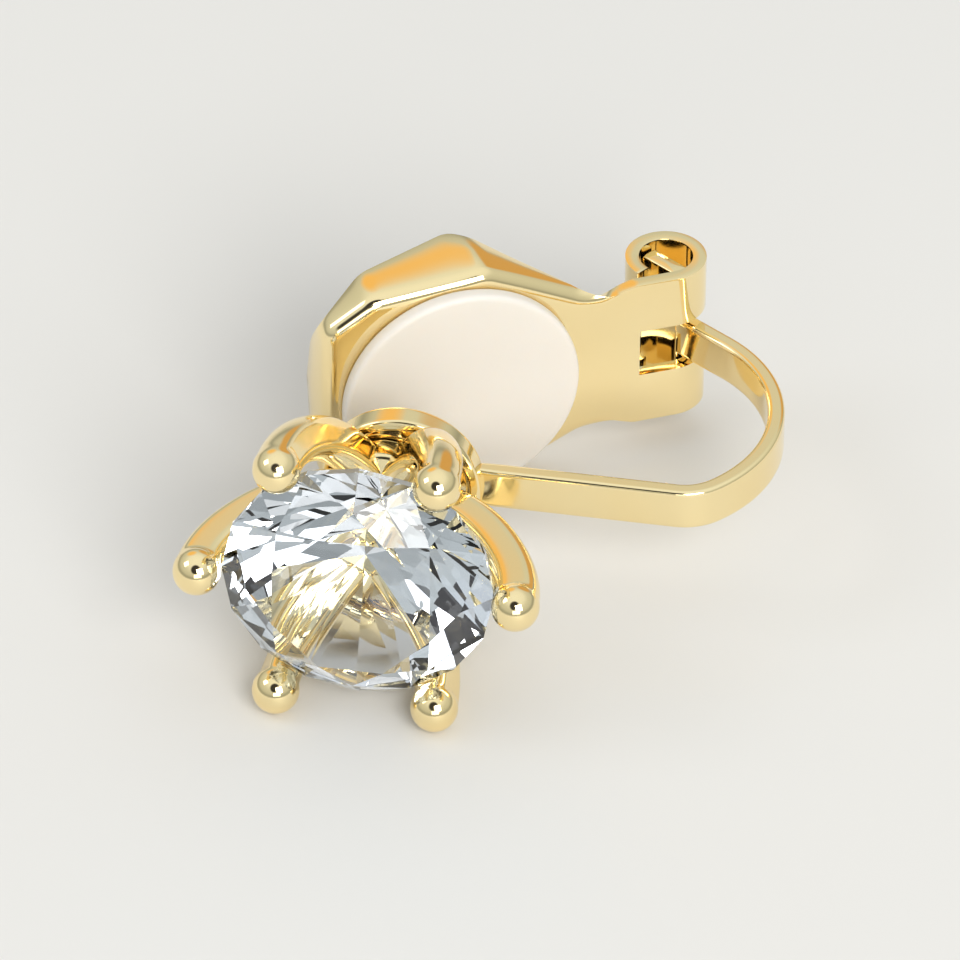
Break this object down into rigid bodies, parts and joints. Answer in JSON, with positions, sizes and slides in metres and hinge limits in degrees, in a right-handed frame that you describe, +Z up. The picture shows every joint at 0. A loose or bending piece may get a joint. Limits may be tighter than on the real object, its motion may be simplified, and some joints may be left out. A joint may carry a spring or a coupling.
{
  "type": "clip-on earring",
  "caption": "Clip-on earring: round faceted stone in a six-claw setting, on a bent strip hinged to a padded paddle that closes behind the ear lobe.",
  "frame": {"origin": "middle of the bounding box, on the surface that the earring lies on", "axes": "the stone faces -Y, the clip's bend points to +X, the paddle's tip to -X, +Z is up"},
  "size_m": [0.0164, 0.0164, 0.0095],
  "materials": {
    "stone": "cut and polished",
    "metal": "polished, pale gold plating",
    "pad": "satin"
  },
  "bodies": {
    "front": {"stone": "stone", "setting": "metal", "arm": "metal"},
    "back": {"paddle": "metal", "pad": "pad"}
  },
  "joints": [
    {"name": "paddle_hinge", "type": "hinge", "parent": "front", "child": "back", "pos_m": [0.00391, 0.00687, 0.00384], "axis": [0, -0.063, -0.998], "range_deg": [0, 90]}
  ]
}
